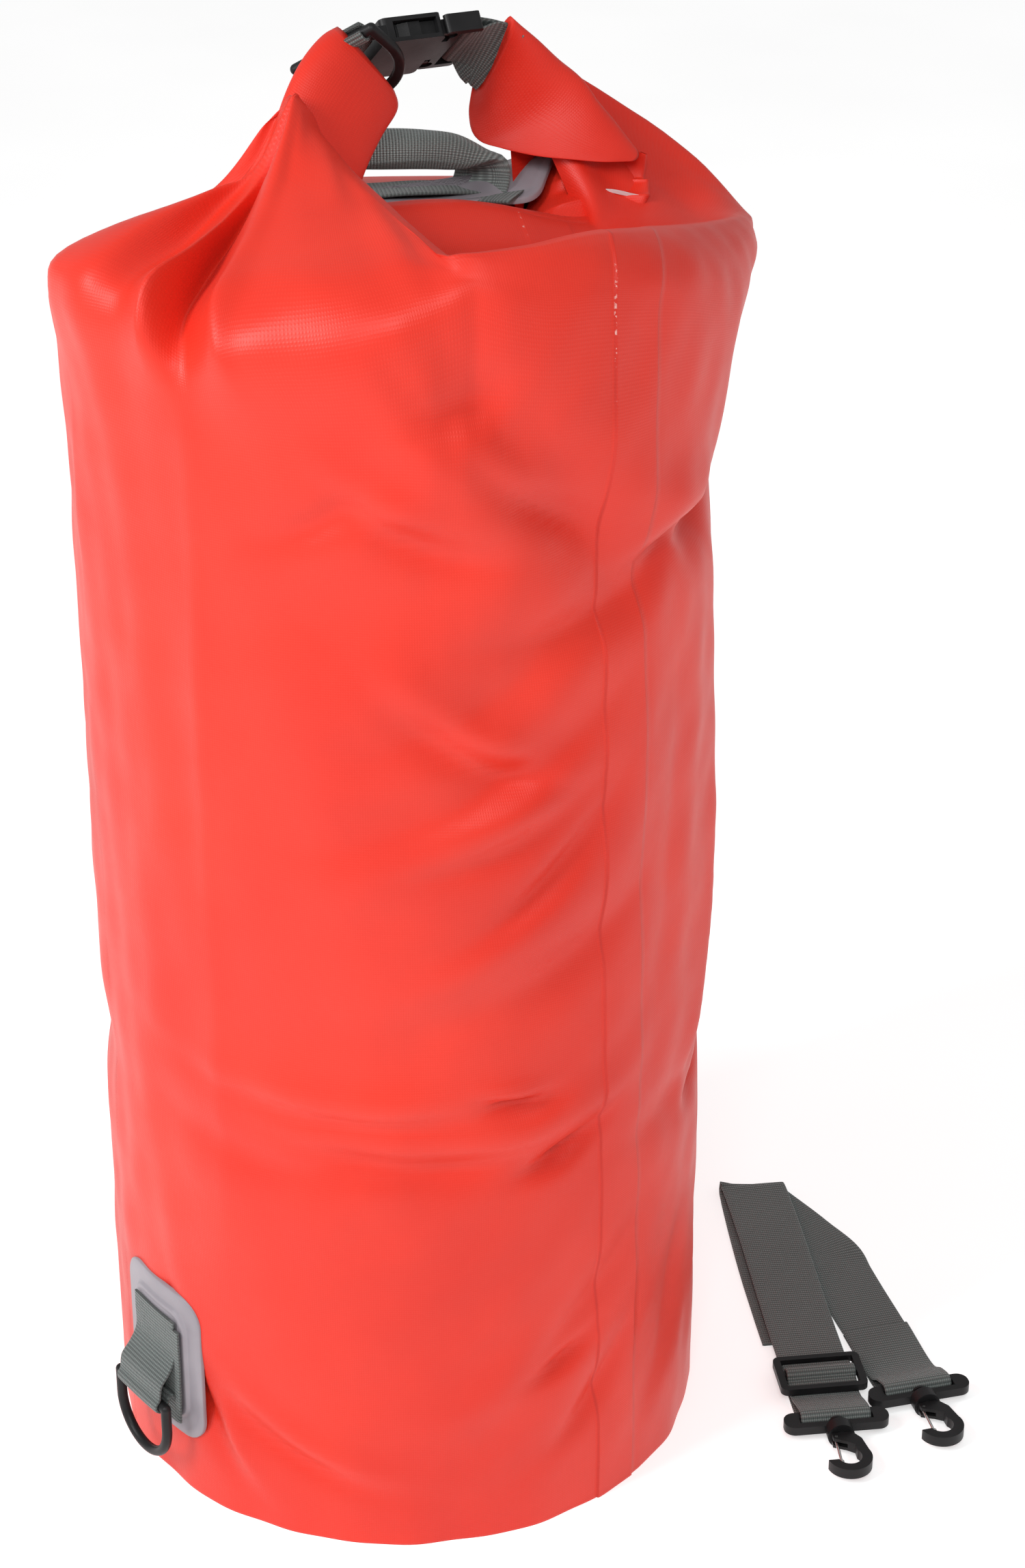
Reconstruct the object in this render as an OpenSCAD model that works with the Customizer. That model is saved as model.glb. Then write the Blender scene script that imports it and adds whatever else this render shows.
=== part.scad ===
/* [Bag] */
// Radius of the filled bag body
body_r = 155; // [120:1:180]
// Height of the straight welded tube, where the folded top begins
tube_h = 600; // [450:10:700]
// Thickness of the coated fabric
fabric_t = 1; // [0.6:0.1:2]
// Height of the welded flange that joins the base panel to the tube
base_flange_h = 20; // [10:1:30]

/* [Webbing] */
// Width of all the webbing
web_w = 38; // [25:1:50]
// Thickness of one layer of webbing
web_t = 1.6; // [1:0.1:2.5]

/* [Buckle] */
// Length of the socket from its webbing bar's slot to its mouth
socket_l = 31; // [28:1:36]
// Width over the buckle
buckle_w = 48; // [46:1:52]
// Thickness of the socket
socket_t = 12; // [11:1:14]
// Backward lean of the buckle's flat face from level
buckle_lean = 35; // [30:1:70]

/* [D-rings] */
// Thickness of the ring's rod
ring_d = 5.4; // [4:0.1:7]
// Height of the ring from its bar's axis to the far end's axis
ring_h = 36; // [30:1:42]

/* [Shoulder strap] */
// Length of the strap's folded left run, from its hook's slot to the fold
left_run = 232; // [200:1:260]
// Length of the strap's right run, from its hook's slot to its bend
right_run = 142; // [120:1:160]
// Thickness of the moulded hooks and slider
mould_t = 5; // [4:0.5:6]

/* [Hidden] */
$fn = 64;

red = [0.86, 0.16, 0.11];
web_grey = [0.33, 0.37, 0.36];
patch_grey = [0.50, 0.48, 0.52];
mould_black = [0.07, 0.07, 0.08];
steel = [0.78, 0.79, 0.80];

gap = 0.3;
blend_r = 6;

// The top's corners: two side shoulders, the front ridge, the trough it falls into under the roll,
// the high edge behind the roll and the low back edge
shoulder_l = [-158, 0, 646];
shoulder_r = [182, 0, 620];
ridge_l = [-40, -132, 674];
ridge_r = [54, -124, 670];
trough_l = [-50, -30, 628];
trough_r = [96, -30, 624];
crown_l = [-50, 36, 640.6];
crown_r = [96, 36, 634.6];
back_l = [-60, 118, 629.2];
back_r = [90, 112, 623.2];

// Rolled mouth
roll_w = 40;
roll_t = 14;
roll_len = 118;
roll_mid = [32, -1, 652];
roll_tilt = [-20, 3, 0];
stiff_w = 24;
stiff_t = 1.8;

// Buckle frame: X along the webbing, Y across it, Z out of the ring
buckle_at = [42, 50, 720.5];
mouth_half = 20.5;
collar_l = 3;
cavity_t = 8;
prong_t = 3;
prong_y = 18.6;
prong_root = 5;
prong_len = 28;
barb_out = 1.8;
bar_r = 2.5;
socket_bar_x = -socket_l - 7.5;
fork_bar_x = 17.5;

// Upper D-ring: its bar's middle, and the bar's slope down to the right
ring_at = [-12.9, 32.7, 727.8];
ring_turn = [-37.3, -32.9, 67.5];
ring_half = (web_w + 1) / 2 + ring_d / 2;

// Lower D-ring patch, round the bag's left side
lower_at = -78;
patch_w = 68;
patch_h = 88;
patch_z = 78;
panel_w = 46;
panel_h = 66;
lower_off = 3;
lower_bar_out = 10;
lower_bar_z = 58;

// Carry handle on the shelf behind the roll
handle_at = [20, 63, 645];
handle_tilt = [-7, 2.4, 0];
handle_turn = -18;
handle_base_l = 150;
handle_half = 56;
handle_rise = 11;
handle_foot = 9;
handle_w = 16;
handle_t = 6;

// Shoulder strap: each run starts at its hook's webbing bar, on the floor
left_hook = [184, -150, 0];
left_turn = 72.5;
right_hook = [237, -146, 0];
right_turn = 80;
right_bend = [260, -12];
right_end = [251, 62];
hook_bar_r = 3.2;
hook_bar_z = 7.6;
layer_low = 1.1;
layer_high = 4.8;
slider_x = 37;
slider_w = 48;
slider_l = 30;
slider_z = 8.2;
base_w = 57;
collar_r = 7.3;
stem_r = 3;
loop_at = -38;
loop_r = 12;
loop_inner_r = 6.5;
gate_r = 0.8;
gate_pivot = [-21, 3.6];

function arc(c, r, a0, a1, n) =
    [for (i = [0:n]) let (a = a0 + (a1 - a0) * i / n) [c[0] + r * cos(a), c[1] + r * sin(a)]];

function heading(p, i) =
    let (a = p[max(i - 1, 0)], b = p[min(i + 1, len(p) - 1)], d = b - a)
    d / norm(d);

// One layer of webbing: a path in the XZ plane with thickness t, w wide across Y
module ribbon(p, t, w) {
    side_a = [for (i = [0:len(p) - 1]) p[i] - t / 2 * [-heading(p, i)[1], heading(p, i)[0]]];
    side_b = [for (i = [len(p) - 1:-1:0]) p[i] + t / 2 * [-heading(p, i)[1], heading(p, i)[0]]];
    translate([0, w / 2, 0])
        rotate([90, 0, 0])
            linear_extrude(w)
                polygon(concat(side_a, side_b));
}

module rounded_rect(w, h, r) {
    square([w - 2 * r, h], center = true);
    square([w, h - 2 * r], center = true);
    for (x = [-1, 1], y = [-1, 1])
        translate([x * (w / 2 - r), y * (h / 2 - r)])
            circle(r);
}

module bar_y(r, w) {
    rotate([90, 0, 0])
        cylinder(r = r, h = w, center = true);
}

// ---- Bag body ----

module body_tube() {
    color(red)
        difference() {
            cylinder(r = body_r, h = tube_h, $fn = 128);
            translate([0, 0, -1])
                cylinder(r = body_r - fabric_t, h = tube_h + 2, $fn = 128);
        }
}

module base_panel() {
    flange_r = body_r - fabric_t - 0.1;
    color(red)
        difference() {
            cylinder(r = flange_r, h = base_flange_h, $fn = 128);
            translate([0, 0, 1.2])
                cylinder(r = flange_r - fabric_t, h = base_flange_h, $fn = 128);
        }
}

module top_corner(p, r) {
    translate(p)
        sphere(r, $fn = 24);
}

// Part of the tube's top edge, kept on one side of the line y = 0; side is -1, 1 or 0 for all of it
module tube_rim(t, side) {
    reach = 2 * body_r;
    intersection() {
        translate([0, 0, tube_h + gap - t])
            cylinder(r = body_r - t, h = 1, $fn = 96);
        translate([-reach, side * reach - reach, 0])
            cube([2 * reach, 2 * reach, 2 * tube_h]);
    }
}

// One hull of the folded top, grown inwards by t: part of the rim joined to the given corners
module top_lobe(t, side, corners) {
    hull() {
        tube_rim(t, side);
        for (p = corners)
            top_corner(p, blend_r - t);
    }
}

module top_form(t) {
    top_lobe(t, 0, [shoulder_l, shoulder_r]);
    top_lobe(t, -1, [ridge_l, ridge_r, trough_l, trough_r]);
    top_lobe(t, 1, [crown_l, crown_r, back_l, back_r]);
}

module top_fabric() {
    color(red)
        difference() {
            top_form(0);
            top_form(fabric_t);
        }
}

// ---- Rolled mouth ----

module on_roll() {
    translate(roll_mid)
        rotate(roll_tilt)
            children();
}

module roll_center() {
    color(red)
        on_roll()
            difference() {
                rotate([90, 0, 90])
                    translate([0, 0, -roll_len / 2])
                        linear_extrude(roll_len)
                            rounded_rect(roll_w, roll_t, roll_t / 2 - 0.1);
                cube([roll_len + 2, stiff_w + 2 * gap, stiff_t + 2 * gap], center = true);
            }
}

module mouth_stiffener() {
    color(web_grey)
        on_roll()
            cube([roll_len - 2, stiff_w, stiff_t], center = true);
}

// A flattened round end of the roll: centre, turn about Y and length across
module roll_station(p, turn, w) {
    translate(p)
        rotate([0, turn, 0])
            for (s = [-1, 1])
                translate([s * (w / 2 - 7), 0, 0])
                    sphere(7, $fn = 24);
}

module roll_arm_left() {
    color(red) {
        hull() {
            roll_station([-54, 5, 669], 28, 48);
            roll_station([-24, 18, 692], 38, 50);
        }
        hull() {
            roll_station([-24, 18, 692], 38, 50);
            roll_station([-14, 26, 700], 56, 42);
        }
    }
}

module roll_arm_right() {
    color(red)
        hull() {
            roll_station([78, 43, 713], 108, 44);
            roll_station([92, 24, 690], 128, 58);
            roll_station([104, 12, 667], 174, 62);
        }
}

// ---- Side-release buckle ----

module on_buckle() {
    translate(buckle_at)
        rotate([-buckle_lean, 0, 0])
            children();
}

// A flat slab in the buckle's frame with rounded corners, from x0 to x1
module slab(x0, x1, w, t, r) {
    translate([(x0 + x1) / 2, 0, -t / 2])
        linear_extrude(t)
            rounded_rect(x1 - x0, w, r);
}

module buckle_socket() {
    color(mould_black)
        on_buckle()
            difference() {
                union() {
                    slab(-socket_l, 0, buckle_w, socket_t, 3);
                    difference() {
                        slab(socket_bar_x - bar_r, -socket_l + 4, buckle_w, 5, 2);
                        translate([socket_bar_x - 8, -web_w / 2 - 1, -6])
                            cube([15.5, web_w + 2, 12]);
                    }
                    translate([socket_bar_x, 0, 0])
                        bar_y(bar_r, buckle_w - 4);
                }
                translate([-27, -mouth_half, -cavity_t / 2])
                    cube([28, 2 * mouth_half, cavity_t]);
                translate([-25, -buckle_w, -cavity_t / 2])
                    cube([25 - collar_l, 2 * buckle_w, cavity_t]);
            }
}

module buckle_fork() {
    color(mould_black)
        on_buckle()
            difference() {
                union() {
                    difference() {
                        slab(1.5, fork_bar_x + bar_r, buckle_w, 9, 2);
                        translate([9.5, -web_w / 2 - 1, -6])
                            cube([20, web_w + 2, 12]);
                    }
                    translate([fork_bar_x, 0, 0])
                        bar_y(bar_r, buckle_w - 4);
                    translate([-22, -3, -3])
                        cube([26, 6, 6]);
                }
                for (s = [-1, 1])
                    translate([prong_root, s * prong_y, -6]) {
                        cylinder(r = 2.9, h = 12);
                        translate([-5, s > 0 ? -7 : -2.9, 0])
                            cube([5, 9.9, 12]);
                    }
            }
}

// One prong of the fork; the near edge's is the far edge's turned half a turn
module prong(turn) {
    color(mould_black)
        on_buckle()
            rotate([turn, 0, 0])
                translate([prong_root, prong_y, -3.5])
                    linear_extrude(7) {
                        circle(2.6);
                        translate([-prong_len, -prong_t / 2])
                            square([prong_len, prong_t]);
                        polygon([[-prong_len + 1, 0], [-16, 0], [-16, prong_t / 2 + barb_out],
                                 [-22, prong_t / 2 + barb_out], [-prong_len + 1, prong_t / 2 + 0.2]]);
                    }
}

module prong_near() {
    prong(180);
}

module prong_far() {
    prong(0);
}

// ---- Webbing tabs at the roll's ends ----

module tab_right() {
    r = bar_r + gap + web_t / 2;
    color(web_grey)
        on_buckle()
            translate([fork_bar_x, 0, 0])
                ribbon(concat([[30, -6.5], [10, -r]], arc([0, 0], r, -90, -270, 16), [[11, 1.2], [30, -4.6]]),
                       web_t, web_w);
}

module tab_left() {
    r = bar_r + gap + web_t / 2;
    color(web_grey)
        on_buckle()
            translate([socket_bar_x, 0, 0])
                ribbon(concat([[-7, -7.3]], arc([0, 0], r, -66, 112, 16), [[-9, -0.6]]),
                       web_t, web_w);
}

// ---- D-rings ----

// Ring with its bar on the Y axis, hanging along -Z
module dring() {
    half = ring_half;
    leg = ring_h - half;
    color(mould_black)
        rotate([0, 0, 90])
            union() {
                rotate([0, 90, 0])
                    cylinder(d = ring_d, h = 2 * half, center = true);
                for (s = [-1, 1])
                    translate([s * half, 0, -leg])
                        cylinder(d = ring_d, h = leg);
                for (s = [-1, 1])
                    translate([s * half, 0, 0])
                        sphere(d = ring_d);
                translate([0, 0, -leg])
                    rotate([90, 0, 0])
                        rotate([0, 0, 180])
                            rotate_extrude(angle = 180)
                                translate([half, 0])
                                    circle(d = ring_d, $fn = 32);
            }
}

module on_ring() {
    translate(ring_at)
        rotate(ring_turn)
            children();
}

// The ring lies between the left arm and the buckle, its bar across the end of the arm
module top_dring() {
    on_ring()
        dring();
}

module top_dring_loop() {
    r = ring_d / 2 + gap + web_t / 2;
    color(web_grey)
        on_ring()
            ribbon(concat([[-2.4, 10]], arc([0, 0], r, 160, 380, 18), [[2.4, 10]]), web_t, web_w - 1);
}

// ---- Carry handle ----

module on_shelf() {
    translate(handle_at)
        rotate(handle_tilt)
            rotate([0, 0, handle_turn])
                children();
}

module handle_patch() {
    color(patch_grey)
        on_shelf()
            linear_extrude(fabric_t)
                rounded_rect(handle_base_l + 14, web_w + 8, 14);
}

module handle_base_strip() {
    color(web_grey)
        on_shelf()
            translate([-handle_base_l / 2, -web_w / 2, fabric_t + 0.1])
                cube([handle_base_l, web_w, web_t]);
}

module handle_end_tabs() {
    tab_l = 16;
    color(web_grey)
        on_shelf()
            for (s = [-1, 1])
                translate([s * (handle_base_l / 2 - tab_l / 2), 0, fabric_t + web_t + 0.2])
                    linear_extrude(2 * web_t)
                        square([tab_l, web_w - 4], center = true);
}

// The grip: folded webbing in one arch, whose ends lie on the hinge line
module grab_handle() {
    arch_r = (pow(handle_half, 2) + pow(handle_rise, 2)) / (2 * handle_rise);
    half_angle = asin(handle_half / arch_r);
    foot_z = fabric_t + web_t + handle_foot;
    color(web_grey)
        on_shelf()
            ribbon(arc([0, foot_z + handle_rise - arch_r], arch_r, 90 + half_angle, 90 - half_angle, 24),
                   handle_t, handle_w);
}

// ---- Lower D-ring ----

module on_side() {
    rotate([0, 0, lower_at])
        children();
}

// A rounded panel w by h bent round the tube, from radius r0 out to r1
module curved_panel(w, h, corner, r0, r1) {
    on_side()
        intersection() {
            difference() {
                translate([0, 0, patch_z - h])
                    cylinder(r = r1, h = 2 * h, $fn = 128);
                translate([0, 0, patch_z - h - 1])
                    cylinder(r = r0, h = 2 * h + 2, $fn = 128);
            }
            translate([0, -body_r + 20, patch_z])
                rotate([90, 0, 0])
                    linear_extrude(40)
                        rounded_rect(w, h, corner);
        }
}

module lower_patch() {
    color(patch_grey)
        curved_panel(patch_w, patch_h, 14, body_r + 0.1, body_r + 1.1);
}

module lower_patch_panel() {
    color(patch_grey)
        curved_panel(panel_w, panel_h, 8, body_r + 1.2, body_r + 2.6);
}

module lower_webbing_loop() {
    r = ring_d / 2 + gap + web_t / 2;
    bar = [lower_bar_out, lower_bar_z];
    color(web_grey)
        on_side()
            translate([0, -(body_r + lower_off), 0])
                rotate([0, 0, -90])
                    ribbon(concat([[0.8, 102], [0.8, 82], [6, 72]], arc(bar, r, 50, -180, 20),
                                  [[3, 59], [0.8, 55], [0.8, 44]]),
                           web_t, web_w);
}

module lower_dring() {
    on_side()
        translate([0, -(body_r + lower_off + lower_bar_out), lower_bar_z])
            rotate([0, 0, 90])
                dring();
}

// ---- Shoulder strap ----

module on_left() {
    translate(left_hook)
        rotate([0, 0, left_turn])
            children();
}

module on_right() {
    translate(right_hook)
        rotate([0, 0, right_turn])
            children();
}

module hook_fold(run_l, top_z) {
    r = hook_bar_r + gap + web_t / 2;
    ribbon(concat([[run_l, layer_low], [14, layer_low], [8, 2.2]],
                  arc([0, hook_bar_z], r, -80, -280, 16),
                  [[10, 8.6], [20, top_z], [run_l, top_z]]),
           web_t, web_w);
}

module strap_webbing() {
    fold_r = (layer_high - layer_low) / 2;
    inner_t = web_t - 0.2;
    inner_w = web_w - 0.6;
    right_top = layer_low + web_t + 0.3;
    color(web_grey)
        union() {
            on_left() {
                hook_fold(60, layer_high);
                ribbon(concat([[57, layer_high], [left_run - 6, layer_high]],
                              arc([left_run - 4, layer_low + fold_r], fold_r, 90, -90, 8),
                              [[76, layer_low]]),
                       inner_t, inner_w);
            }
            on_right() {
                hook_fold(62, right_top);
                ribbon([[58, right_top], [74, layer_low], [right_run, layer_low]], inner_t, inner_w);
            }
            translate([0, 0, layer_low - web_t / 2])
                linear_extrude(web_t)
                    plan_strip(right_bend, right_end, web_w - 1);
        }
}

// A straight strip on the floor between two points, w wide
module plan_strip(a, b, w) {
    along = (b - a) / norm(b - a);
    side = [-along[1], along[0]] * w / 2;
    polygon([a - 6 * along - side, b - side, b + side, a - 6 * along + side]);
}

module strap_slider() {
    color(mould_black)
        on_left()
            translate([slider_x, 0, slider_z])
                difference() {
                    union() {
                        translate([0, 0, -2])
                            linear_extrude(4)
                                rounded_rect(slider_l, slider_w, 4);
                        translate([0, 0, -0.4])
                            bar_y(1.6, slider_w - 4);
                    }
                    for (s = [-1, 1])
                        translate([s * 6.6, 0, 0])
                            cube([9.8, web_w + 2, 12], center = true);
                }
}

module slider_webbing_bridge() {
    r = 3 + gap + web_t / 2;
    foot = layer_high + web_t + 0.2;
    color(web_grey)
        on_left()
            translate([slider_x, 0, 0])
                ribbon(concat([[-10, foot], [-6.4, foot + 0.4]],
                              arc([0, slider_z - 0.4], r, 165, 15, 12),
                              [[6.4, foot + 0.4], [10, foot]]),
                       web_t, web_w);
}

// Webbing frame with its round collar; the webbing goes round the bar at the origin
module swivel_base() {
    color(mould_black)
        translate([0, 0, hook_bar_z])
            difference() {
                union() {
                    translate([-4.4, 0, -mould_t / 2])
                        linear_extrude(mould_t)
                            rounded_rect(13.2, base_w, 6);
                    rotate([0, -90, 0])
                        translate([0, 0, 10.5])
                            cylinder(r = collar_r, h = 7);
                }
                translate([-4.6, 0, 0])
                    cube([4.8, web_w + 2, 12], center = true);
                rotate([0, -90, 0])
                    cylinder(r = stem_r + 0.08, h = 20);
            }
}

// The hook in plan: its ring, spine and head, without the gate's slot
module hook_outline() {
    difference() {
        union() {
            translate([loop_at, 0])
                circle(loop_r);
            polygon([[loop_at, -loop_r], [-24, -9.5], [-18, -5.5], [-18, 5.5], [-24, 5.5],
                     [-27, 0], [loop_at, 0]]);
        }
        translate([loop_at, 0])
            circle(loop_inner_r);
        translate([loop_at, -5])
            polygon([[0, 0], [0, 5 + loop_inner_r - 3], [3, 20], [20, 20], [12, 4], [9, 0]]);
        translate([loop_at - 2, 0])
            polygon([[0, 0], [0, 20], [11, 20], [11, 0]]);
    }
}

module snap_hook() {
    color(mould_black)
        translate([0, 0, hook_bar_z])
            difference() {
                union() {
                    translate([0, 0, -3])
                        linear_extrude(6)
                            hook_outline();
                    rotate([0, -90, 0])
                        translate([0, 0, 5.6])
                            cylinder(r = stem_r, h = 14);
                    rotate([0, -90, 0])
                        translate([0, 0, 5.4])
                            cylinder(r = stem_r + 1.5, h = 1.3);
                }
                translate([-27, -1.5, -1.2])
                    cube([7.5, 8, 2.4]);
                translate([gate_pivot[0], gate_pivot[1], -4])
                    cylinder(r = gate_r + 0.08, h = 8);
            }
}

// Steel gate: a pin through the head, the wire and its knob inside the nose
module gate_wire() {
    reach = 18;
    lean = 3;
    color(steel)
        translate([gate_pivot[0], gate_pivot[1], hook_bar_z]) {
            translate([0, 0, -2.9])
                cylinder(r = gate_r, h = 5.8);
            rotate([0, 0, 180 - lean]) {
                rotate([0, 90, 0])
                    cylinder(r = gate_r, h = reach);
                translate([reach, 0, 0])
                    sphere(1.5);
            }
        }
}

module swivel_base_1() {
    on_left() swivel_base();
}

module snap_hook_1() {
    on_left() snap_hook();
}

module gate_wire_1() {
    on_left() gate_wire();
}

module swivel_base_2() {
    on_right() swivel_base();
}

module snap_hook_2() {
    on_right() snap_hook();
}

module gate_wire_2() {
    on_right() gate_wire();
}

body_tube();
base_panel();
top_fabric();
roll_center();
mouth_stiffener();
roll_arm_left();
roll_arm_right();
tab_left();
tab_right();
buckle_socket();
buckle_fork();
prong_near();
prong_far();
top_dring_loop();
top_dring();
handle_patch();
handle_base_strip();
grab_handle();
handle_end_tabs();
lower_patch();
lower_patch_panel();
lower_webbing_loop();
lower_dring();
strap_webbing();
strap_slider();
slider_webbing_bridge();
swivel_base_1();
snap_hook_1();
gate_wire_1();
swivel_base_2();
snap_hook_2();
gate_wire_2();
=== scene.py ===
import bpy
import math
import numpy as np
from mathutils import Matrix, Vector


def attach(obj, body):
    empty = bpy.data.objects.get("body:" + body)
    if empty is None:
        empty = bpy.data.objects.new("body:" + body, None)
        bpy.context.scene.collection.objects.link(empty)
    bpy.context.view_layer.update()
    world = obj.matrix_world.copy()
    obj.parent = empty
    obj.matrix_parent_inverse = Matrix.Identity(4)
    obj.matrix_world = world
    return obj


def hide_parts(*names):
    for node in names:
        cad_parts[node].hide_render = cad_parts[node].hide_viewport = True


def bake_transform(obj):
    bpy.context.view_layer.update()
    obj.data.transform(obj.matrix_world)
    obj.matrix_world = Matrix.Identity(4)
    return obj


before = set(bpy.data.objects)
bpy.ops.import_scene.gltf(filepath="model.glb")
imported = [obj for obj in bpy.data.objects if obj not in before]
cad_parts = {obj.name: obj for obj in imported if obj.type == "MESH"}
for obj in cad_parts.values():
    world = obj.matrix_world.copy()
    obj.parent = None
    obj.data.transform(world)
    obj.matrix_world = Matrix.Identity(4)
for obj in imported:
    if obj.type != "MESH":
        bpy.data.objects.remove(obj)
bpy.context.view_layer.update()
MM = 0.001

# ---------------- camera

camera = bpy.data.objects.new("camera", bpy.data.cameras.new("camera"))
bpy.context.scene.collection.objects.link(camera)
forward = Vector((0.3765, 0.8075, -0.4541)).normalized()
across = Vector((0.9063, -0.4226, 0)).normalized()
above = across.cross(forward)
turn = Matrix((across, above, -forward)).transposed().to_4x4()
camera.matrix_world = Matrix.Translation((-0.5978, -1.41793, 1.14235)) @ turn
camera.data.sensor_width = 36
camera.data.lens = 36 * 5000 / 2295
camera.data.clip_start = 0.05
bpy.context.scene.camera = camera


# ---------------- mesh helpers

def make(name, points, faces, material, body, uv=None):
    """A mesh piece from points and uv in mm, riding on a CAD body where one is named."""
    mesh = bpy.data.meshes.new(name)
    mesh.from_pydata([tuple(p * MM) for p in np.asarray(points, float)], [], faces)
    if uv is not None:
        layer = mesh.uv_layers.new(name="cloth")
        uv = np.asarray(uv, float) * MM
        corner = np.empty(len(mesh.loops), int)
        mesh.loops.foreach_get("vertex_index", corner)
        layer.data.foreach_set("uv", uv[corner].ravel())
    mesh.materials.append(material)
    mesh.polygons.foreach_set("use_smooth", [True] * len(mesh.polygons))
    mesh.update()
    piece = bpy.data.objects.new(name, mesh)
    bpy.context.scene.collection.objects.link(piece)
    if body:
        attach(piece, body)
    return piece


def grid_faces(rows, cols, closed=False):
    faces = []
    for r in range(rows - 1):
        row, next_row = r * cols, (r + 1) * cols
        for c in range(cols if closed else cols - 1):
            d = (c + 1) % cols
            faces.append((row + c, row + d, next_row + d, next_row + c))
    return faces


def spline(knots, values, at, monotone=False):
    """Smooth curve through values at knots; monotone keeps it from overshooting."""
    knots, values, at = (np.asarray(a, float) for a in (knots, values, at))
    h = np.diff(knots)
    slope = np.diff(values, axis=0) / h.reshape((-1,) + (1,) * (values.ndim - 1))
    tangent = np.empty_like(values)
    tangent[0], tangent[-1] = slope[0], slope[-1]
    for i in range(1, len(knots) - 1):
        a, b = slope[i - 1], slope[i]
        mean = (a * h[i] + b * h[i - 1]) / (h[i] + h[i - 1])
        if monotone:
            limit = 2.6 * np.minimum(np.abs(a), np.abs(b))
            mean = np.where(a * b <= 0, mean * 0.25, np.clip(mean, -limit, limit))
        tangent[i] = mean
    k = np.clip(np.searchsorted(knots, at, side="right") - 1, 0, len(knots) - 2)
    shape = (-1,) + (1,) * (values.ndim - 1)
    t = ((at - knots[k]) / h[k]).reshape(shape)
    w = h[k].reshape(shape)
    return ((2 * t**3 - 3 * t**2 + 1) * values[k] + (t**3 - 2 * t**2 + t) * w * tangent[k]
            + (3 * t**2 - 2 * t**3) * values[k + 1] + (t**3 - t**2) * w * tangent[k + 1])


def resample(points, step):
    """Points along a smooth curve through the given ones, about step apart, and their arc length."""
    p = np.asarray(points, float)
    gaps = np.linalg.norm(np.diff(p[:, :3], axis=0), axis=1)
    knots = np.concatenate([[0], np.cumsum(gaps ** 0.5)])
    fine = spline(knots, p, np.linspace(0, knots[-1], 40 * len(p)))
    run = np.concatenate([[0], np.cumsum(np.linalg.norm(np.diff(fine[:, :3], axis=0), axis=1))])
    n = max(2, int(round(run[-1] / step)) + 1)
    want = np.linspace(0, run[-1], n)
    return np.stack([np.interp(want, run, fine[:, i]) for i in range(p.shape[1])], 1), want


def place(points, at, matrix):
    return np.asarray(points, float) @ np.array(matrix.to_3x3()).T + np.asarray(at, float)


def unit(v):
    v = np.asarray(v, float)
    return v / np.maximum(np.linalg.norm(v, axis=-1, keepdims=True), 1e-9)


def ribbon(name, path, sides, width, material, body, thick=1.6, step=1.5, curl=0.0, wave=0.0, seed=0):
    """Flat webbing along path. sides are the directions across it at each path point, width its width."""
    p = np.asarray(path, float)
    s = np.broadcast_to(np.asarray(sides, float), p.shape)
    wide = np.broadcast_to(np.asarray(width, float).reshape(-1, 1), (len(p), 1))
    data, run = resample(np.hstack([p, s, wide]), step)
    centre, side, wide = data[:, :3], unit(data[:, 3:6]), data[:, 6]
    tangent = unit(np.gradient(centre, axis=0))
    side = unit(side - tangent * np.sum(side * tangent, axis=1, keepdims=True))
    normal = unit(np.cross(tangent, side))
    edge_w = np.array([-1, -0.985, -0.94, -0.8, -0.6, -0.4, -0.2, 0, 0.2, 0.4, 0.6, 0.8, 0.94, 0.985, 1])
    edge_t = np.array([0.25, 0.75, 1, 1, 1, 1, 1, 1, 1, 1, 1, 1, 1, 0.75, 0.25])
    loop_w = np.concatenate([edge_w, edge_w[::-1]])
    loop_t = np.concatenate([edge_t, -edge_t[::-1]])
    rng = np.random.default_rng(seed)
    phase = rng.uniform(0, 6.28, 4)
    points, uv = [], []
    for i in range(len(centre)):
        sway = wave * (math.sin(run[i] / 17 + phase[0]) + 0.6 * math.sin(run[i] / 7.3 + phase[1])) * 0.5
        for w, t in zip(loop_w, loop_t):
            lift = curl * (w * w - 0.35) + sway * w
            ripple = wave * 0.3 * math.sin(run[i] / 5.1 + phase[2] + 2.2 * w)
            points.append(centre[i] + side[i] * (w * wide[i] / 2)
                          + normal[i] * (t * thick / 2 + lift + ripple))
            uv.append((run[i], w * wide[i] / 2 + (80 if t < 0 else 0)))
    n = len(loop_w)
    faces = grid_faces(len(centre), n, closed=True)
    faces.append(tuple(range(n))[::-1])
    faces.append(tuple(range((len(centre) - 1) * n, len(centre) * n)))
    piece = make(name, points, faces, material, body, uv)
    sharp = piece.modifiers.new("edges", "EDGE_SPLIT")
    sharp.split_angle = math.radians(50)
    return piece


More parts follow.
